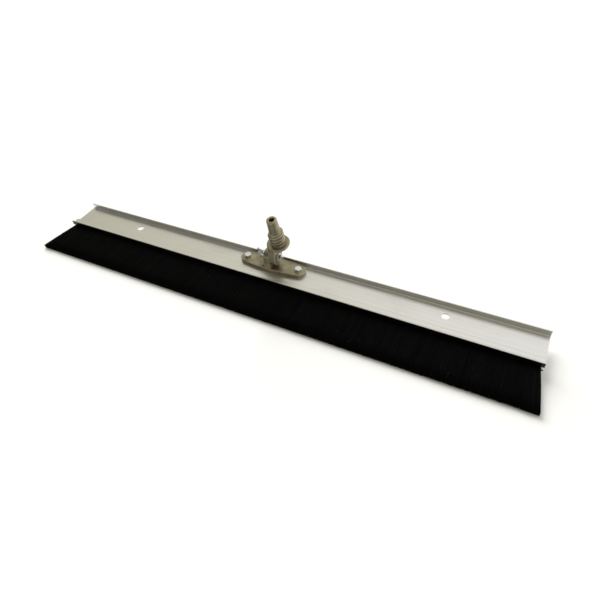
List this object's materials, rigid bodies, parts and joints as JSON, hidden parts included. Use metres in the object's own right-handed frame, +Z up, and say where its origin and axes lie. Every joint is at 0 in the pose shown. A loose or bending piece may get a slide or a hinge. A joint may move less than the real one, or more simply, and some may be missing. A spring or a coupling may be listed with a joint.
{
  "type": "concrete finishing broom head",
  "caption": "Long aluminium holder with a full-length strip of black bristles and a cast bracket whose threaded pole stub tilts on a wing-nut pivot.",
  "frame": {"origin": "on the ground, under the middle of the head's length and of its depth", "axes": "+X along the head, to the pivot bolt's head end; +Y to the rear flange, away from the bristles; +Z up from the ground the head lies on"},
  "size_m": [0.9274, 0.1382, 0.1327],
  "materials": {
    "extruded_aluminium": "satin",
    "cast_aluminium": "matte",
    "zinc_plate": "satin",
    "strip_steel": "satin",
    "black_bristle": "matte"
  },
  "bodies": {
    "head": {"backing_extrusion": "extruded_aluminium", "brush_strip_channel": "strip_steel", "strip_core_wire": "strip_steel", "bristle_section_1": "black_bristle", "bristle_section_2": "black_bristle", "bristle_section_3": "black_bristle", "bristle_section_4": "black_bristle", "bristle_section_5": "black_bristle", "bristle_section_6": "black_bristle", "strip_stop_screw_left": "zinc_plate", "strip_stop_screw_right": "zinc_plate", "bracket_base": "cast_aluminium", "bracket_bolt_left": "zinc_plate", "bracket_washer_left": "zinc_plate", "bracket_lock_washer_left": "zinc_plate", "bracket_nut_left": "zinc_plate", "bracket_bolt_right": "zinc_plate", "bracket_washer_right": "zinc_plate", "bracket_lock_washer_right": "zinc_plate", "bracket_nut_right": "zinc_plate", "pivot_bolt": "zinc_plate", "pivot_head_washer": "zinc_plate", "pivot_nut_washer": "zinc_plate", "pivot_lock_washer": "zinc_plate"},
    "adapter": {"handle_adapter": "cast_aluminium"},
    "clamp_nut": {"wing_nut": "zinc_plate"}
  },
  "joints": [
    {"name": "adapter_tilt", "type": "hinge", "parent": "head", "child": "adapter", "pos_m": [0, 0.04617, 0.04214], "axis": [1, 0, 0], "range_deg": [-79.4, 60.6]},
    {"name": "wing_nut_turn", "type": "hinge", "parent": "head", "child": "clamp_nut", "pos_m": [-0.0136, 0.04617, 0.04214], "axis": [-1, 0, 0], "continuous": true}
  ]
}
